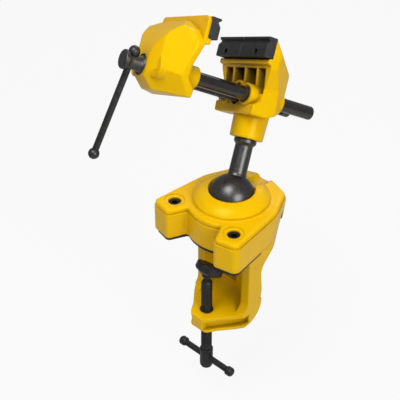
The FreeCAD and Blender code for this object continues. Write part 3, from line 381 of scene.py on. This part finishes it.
def finish_material(name, colours, edge_wear_and_highlight_colour, roughness, grain, edge, shader,
                    wear_and_highlight=1.0, painted_shade=(0.008, 0.5)):
    """Principled finish: mottled colour, edge colour, painted shade in recesses, rounded edges, grain bump.

    colours and roughness run over the mottle, grain is (fine scale, coarse scale, coarse share, bump
    height in metres), edge is (radius in metres, break up), the wear share is how far edges take the edge
    colour, which is edge wear on metal and a painted highlight on the yellow paint, the painted shade pair
    is (reach in metres, how far recesses darken in painted shade) and shader holds the plain socket values.
    """
    material, tree, output = empty_material(name)
    paint = add(tree, "ShaderNodeBsdfPrincipled", shader)
    skin = add(tree, "ShaderNodeGroup", node_tree=GRAIN)
    for label, value in zip(("Fine Scale", "Coarse Scale", "Coarse Share"), grain):
        skin.inputs[label].default_value = value
    edges = add(tree, "ShaderNodeGroup", node_tree=EDGE_MASK)
    for label, value in zip(("Radius", "Break Up", "Reach"), (*edge, painted_shade[0])):
        edges.inputs[label].default_value = value
    ramp = colour_ramp(tree, zip(MOTTLE_RANGE, colours))
    # Edges take the edge colour: edge wear on metal, a painted highlight on the yellow paint
    worn_and_lit = add(tree, "ShaderNodeMath", {1: wear_and_highlight}, operation="MULTIPLY")
    edged = colour_mix(tree, edge_wear_and_highlight_colour)
    # Painted shade: recesses darken the colour towards a dark copy of the first colour
    depth = add(tree, "ShaderNodeMath", {1: painted_shade[1]}, operation="MULTIPLY")
    shaded = colour_mix(tree, (PAINTED_SHADE_KEPT * value for value in colours[0]))
    rough = remap(tree, MOTTLE_RANGE, *roughness)
    bump = add(tree, "ShaderNodeBump", {"Strength": 1.0, "Distance": grain[3]})
    wire(tree,
         (skin, "Mottle", ramp, "Fac"),
         (edges, "Mask", worn_and_lit, 0),
         (worn_and_lit, "Value", edged, 0),
         (ramp, "Color", edged, 6),
         (edges, "Painted Shade", depth, 0),
         (depth, "Value", shaded, 0),
         (edged, 2, shaded, 6),
         (shaded, 2, paint, "Base Color"),
         (skin, "Mottle", rough, "Value"),
         (rough, "Result", paint, "Roughness"),
         (skin, "Height", bump, "Height"),
         (edges, "Normal", bump, "Normal"),
         (bump, "Normal", paint, "Normal"),
         (paint, "BSDF", output, "Surface"))
    return material


# Finishes of the vise

def yellow_paint():
    """Thick gloss yellow enamel with a slight orange peel."""
    return finish_material("yellow_paint",
                           colours=((0.85, 0.485, 0.0004), (0.89, 0.525, 0.0008)),
                           # Lighter yellow at the edges: a painted highlight, not wear
                           edge_wear_and_highlight_colour=(0.94, 0.60, 0.004),
                           roughness=(0.26, 0.36),
                           grain=(170.0, 45.0, 0.25, 0.00005),
                           edge=(0.0022, 200.0),
                           shader={"Specular IOR Level": 0.45, "Specular Tint": (1.0, 0.7, 0.05, 1.0),
                                   "Coat Weight": 0.08, "Coat Roughness": 0.06},
                           wear_and_highlight=0.5,
                           # Strong painted shade in recesses, over a long reach
                           painted_shade=(0.028, 0.9))


def ball_metal():
    """Dark polished steel of the ball and stud, faintly speckled."""
    return finish_material("ball_metal",
                           colours=((0.075, 0.074, 0.073), (0.12, 0.118, 0.116)),
                           edge_wear_and_highlight_colour=(0.26, 0.26, 0.26),
                           roughness=(0.26, 0.42),
                           grain=(2600.0, 700.0, 0.4, 0.000006),
                           edge=(0.0004, 300.0),
                           shader={"Metallic": 0.9, "Specular IOR Level": 0.6})


def gloss_black():
    """Gloss black oxide of the guide rods."""
    return finish_material("gloss_black",
                           colours=((0.022, 0.021, 0.020), (0.035, 0.033, 0.031)),
                           edge_wear_and_highlight_colour=(0.12, 0.12, 0.12),
                           roughness=(0.14, 0.24),
                           grain=(900.0, 120.0, 0.3, 0.000008),
                           edge=(0.0004, 300.0),
                           shader={"Metallic": 0.5, "Coat Weight": 0.8, "Coat Roughness": 0.05})


def screw_steel():
    """Satin dark steel of the lead screw and its head."""
    return finish_material("screw_steel",
                           colours=((0.06, 0.06, 0.062), (0.11, 0.11, 0.113)),
                           edge_wear_and_highlight_colour=(0.32, 0.32, 0.33),
                           roughness=(0.32, 0.48),
                           grain=(1200.0, 150.0, 0.4, 0.00002),
                           edge=(0.0005, 350.0),
                           shader={"Metallic": 0.85})


def handle_steel():
    """Dark steel of the jaw handle."""
    return finish_material("handle_steel",
                           colours=((0.045, 0.044, 0.044), (0.08, 0.078, 0.078)),
                           edge_wear_and_highlight_colour=(0.25, 0.25, 0.25),
                           roughness=(0.3, 0.42),
                           grain=(1100.0, 140.0, 0.4, 0.00002),
                           edge=(0.0004, 350.0),
                           shader={"Metallic": 0.8})


def clamp_black():
    """Black oxide of the clamp screw, its bar and pad."""
    return finish_material("clamp_black",
                           colours=((0.018, 0.018, 0.019), (0.04, 0.039, 0.04)),
                           edge_wear_and_highlight_colour=(0.16, 0.16, 0.16),
                           roughness=(0.34, 0.5),
                           grain=(1000.0, 160.0, 0.4, 0.00003),
                           edge=(0.0004, 350.0),
                           shader={"Metallic": 0.6})


def pad_moulding():
    """Grey-black moulded jaw pads with a leathery grain."""
    return finish_material("pad_moulding",
                           colours=((0.013, 0.013, 0.014), (0.028, 0.028, 0.030)),
                           edge_wear_and_highlight_colour=(0.09, 0.09, 0.095),
                           roughness=(0.42, 0.6),
                           grain=(700.0, 220.0, 0.4, 0.00012),
                           edge=(0.0004, 300.0),
                           shader={"Specular IOR Level": 0.5})


def bench_rubber():
    """Matt black rubber under the base."""
    return finish_material("bench_rubber",
                           colours=((0.012, 0.012, 0.012), (0.025, 0.025, 0.025)),
                           edge_wear_and_highlight_colour=(0.05, 0.05, 0.05),
                           roughness=(0.6, 0.8),
                           grain=(600.0, 150.0, 0.4, 0.0001),
                           edge=(0.0005, 300.0),
                           shader={"Specular IOR Level": 0.4})


def fastener_black():
    """Black cap screws and small screws."""
    return finish_material("fastener_black",
                           colours=((0.014, 0.014, 0.015), (0.03, 0.03, 0.032)),
                           edge_wear_and_highlight_colour=(0.14, 0.14, 0.14),
                           roughness=(0.3, 0.42),
                           grain=(900.0, 200.0, 0.4, 0.00002),
                           edge=(0.0003, 400.0),
                           shader={"Metallic": 0.7})


def plain_steel():
    """Bare steel of the pieces inside."""
    return finish_material("plain_steel",
                           colours=((0.42, 0.42, 0.43), (0.52, 0.52, 0.53)),
                           edge_wear_and_highlight_colour=(0.7, 0.7, 0.7),
                           roughness=(0.28, 0.42),
                           grain=(900.0, 120.0, 0.4, 0.00002),
                           edge=(0.0003, 400.0),
                           shader={"Metallic": 1.0})


def nut_bronze():
    """Bronze of the lead nut and the rod bushes."""
    return finish_material("nut_bronze",
                           colours=((0.36, 0.22, 0.08), (0.48, 0.31, 0.12)),
                           edge_wear_and_highlight_colour=(0.65, 0.45, 0.2),
                           roughness=(0.3, 0.45),
                           grain=(900.0, 120.0, 0.4, 0.00002),
                           edge=(0.0003, 400.0),
                           shader={"Metallic": 1.0})


FINISHES = {
    "body_paint": yellow_paint,
    "ball_steel": ball_metal,
    "rod_black": gloss_black,
    "screw_steel": screw_steel,
    "handle_steel": handle_steel,
    "clamp_black": clamp_black,
    "pad_plastic": pad_moulding,
    "pad_rubber": bench_rubber,
    "fastener_black": fastener_black,
    "inner_steel": plain_steel,
    "seat_steel": plain_steel,
    "insert_steel": clamp_black,
    "nut_bronze": nut_bronze,
}


def finish_every_node():
    """Gives each solid the finish of its material slot and returns the finishes by slot."""
    made = {}
    for make in FINISHES.values():
        if make not in made:
            made[make] = make()
    by_slot = {slot: made[make] for slot, make in FINISHES.items()}
    for part in frame["record"]["subparts"]:
        for place in NODES[part["node"]].material_slots:
            place.material = by_slot[part["material_slot"]]
    return by_slot


# Threaded screws

def low_end(name, axis):
    """Middle of the corners of a solid that lie lowest along an axis."""
    mesh = NODES[name].data
    flat = np.empty(len(mesh.vertices) * 3)
    mesh.vertices.foreach_get("co", flat)
    corners = flat.reshape(-1, 3)
    reach = corners @ np.array(axis)
    rim = corners[reach < reach.min() + RIM_SLACK]
    return Vector((rim.max(0) + rim.min(0)) / 2)


def dressed(piece, material, body, solid):
    """Finish, smooth shading and place in the frame of a piece that stands for a solid."""
    mesh = piece.data
    mesh.materials.clear()
    mesh.materials.append(material)
    mesh.polygons.foreach_set("use_smooth", np.ones(len(mesh.polygons), dtype=bool))
    mesh.set_sharp_from_angle(angle=math.radians(SMOOTH_DEGREES))
    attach(piece, body)
    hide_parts(solid)
    return piece


def threaded_lead_screw(material):
    """Lead screw: end disc, waist, flange, journal with its clip groove, and the threaded shank."""
    start = Vector(JOINTS["screw_turn"]["pos_m"])
    end = low_end("lead_screw", SCREW_AXIS)
    start += SCREW_AXIS * ((end - start).dot(SCREW_AXIS) - LEAD_OUTLINE[0][0] * MM)
    piece = threaded_piece("lead_screw_turned", start, SCREW_AXIS, LEAD_OUTLINE, LEAD_THREAD, LEAD_STEP)
    hole = start + SCREW_AXIS * LEAD_HOLE_AT * MM
    cutters = [cutter_rod(BAR_AXIS, hole, LEAD_HOLE_R, HOLE_HALF)]
    for side in (-1, 1):
        cutters.append(cutter_ball(hole + BAR_AXIS * side * KNOB_SEAT * MM, KNOB_SEAT_R))
    cut_away(piece, cutters)
    return dressed(piece, material, "screw", "lead_screw")


def threaded_clamp_screw(material):
    """Clamp screw: round-ended head with the bar hole, threaded shank, and a tip bored for its swivel."""
    end = low_end("clamp_screw", UP)
    start = Vector((0, CLAMP_Y * MM, end.z - CLAMP_OUTLINE[0][0] * MM))
    piece = threaded_piece("clamp_screw_turned", start, UP, CLAMP_OUTLINE, CLAMP_THREAD, CLAMP_STEP)
    bore_half = (CLAMP_BORE_DEPTH + CLAMP_BORE_OVER) / 2
    bore_at = CLAMP_OUTLINE[-1][0] + CLAMP_BORE_OVER - bore_half
    cut_away(piece, [cutter_rod(ACROSS, start + UP * CLAMP_HOLE_AT * MM, CLAMP_HOLE_R, HOLE_HALF),
                     cutter_rod(UP, start + UP * bore_at * MM, CLAMP_BORE_R, bore_half)])
    return dressed(piece, material, "clamp_spindle", "clamp_screw")


# Stage, lamps and camera

def mixed_for_camera(tree, plain, seen, output, share=1.0):
    """Puts out the plain shader, with the other one mixed in by a share for what the camera sees."""
    path = add(tree, "ShaderNodeLightPath")
    part = add(tree, "ShaderNodeMath", {1: share}, operation="MULTIPLY")
    mix = add(tree, "ShaderNodeMixShader")
    wire(tree,
         (path, "Is Camera Ray", part, 0),
         (part, "Value", mix, "Fac"),
         (plain, 0, mix, 1),
         (seen, 0, mix, 2),
         (mix, "Shader", output, "Surface"))


def stage_floor():
    """Pale floor that looks white to the camera and keeps the shadow of the vise."""
    level = cad_box[0][2] - FLOOR_DROP
    square = ((-1, -1), (1, -1), (1, 1), (-1, 1))
    mesh = bpy.data.meshes.new("floor")
    mesh.from_pydata([(x * FLOOR_HALF, y * FLOOR_HALF, level) for x, y in square], [], [(0, 1, 2, 3)])
    floor = in_scene("floor", mesh)
    material, tree, output = empty_material("pale_floor")
    matt = add(tree, "ShaderNodeBsdfDiffuse", {"Color": (FLOOR_GREY, FLOOR_GREY, FLOOR_GREY, 1)})
    white = add(tree, "ShaderNodeEmission", {"Color": (1, 1, 1, 1), "Strength": 1.0})
    mixed_for_camera(tree, matt, white, output, FLOOR_WHITE_SHARE)
    mesh.materials.append(material)


def soft_lamp(name, place, side, power):
    """Square area lamp at a place, aimed at the middle of the vise."""
    data = bpy.data.lights.new(name, "AREA")
    data.shape = "SQUARE"
    data.size = side
    data.energy = power
    lamp = in_scene(name, data)
    lamp.location = place
    lamp.rotation_euler = (Vector(LAMP_AIM) - Vector(place)).to_track_quat("-Z", "Y").to_euler()


def surround():
    """Even surround that lights the vise a little and looks white to the camera."""
    world = bpy.data.worlds.new("surround")
    bpy.context.scene.world = world
    world.use_nodes = True
    tree = world.node_tree
    tree.nodes.clear()
    output = add(tree, "ShaderNodeOutputWorld")
    room = add(tree, "ShaderNodeBackground", {"Color": (1, 1, 1, 1), "Strength": ROOM_LIGHT})
    white = add(tree, "ShaderNodeBackground", {"Color": (1, 1, 1, 1), "Strength": 1.0})
    mixed_for_camera(tree, room, white, output)


def photo_camera():
    """Camera at the photograph's place, with no roll."""
    data = bpy.data.cameras.new("camera")
    data.lens = LENS
    data.sensor_width = SENSOR
    data.clip_start, data.clip_end = CAMERA_CLIP
    camera = in_scene("camera", data)
    camera.location = BALL_CENTRE + CAMERA_FROM_BALL
    level = math.cos(CAMERA_ELEVATION)
    ahead = Vector((-math.sin(CAMERA_AZIMUTH) * level,
                    math.cos(CAMERA_AZIMUTH) * level,
                    -math.sin(CAMERA_ELEVATION)))
    camera.rotation_euler = ahead.to_track_quat("-Z", "Y").to_euler()
    bpy.context.scene.camera = camera


bpy.context.scene.view_settings.view_transform = "Standard"
finishes = finish_every_node()
threaded_lead_screw(finishes["screw_steel"])
threaded_clamp_screw(finishes["clamp_black"])
stage_floor()
for lamp_name, (lamp_place, lamp_side, lamp_power) in LAMPS.items():
    soft_lamp(lamp_name, lamp_place, lamp_side, lamp_power)
surround()
photo_camera()
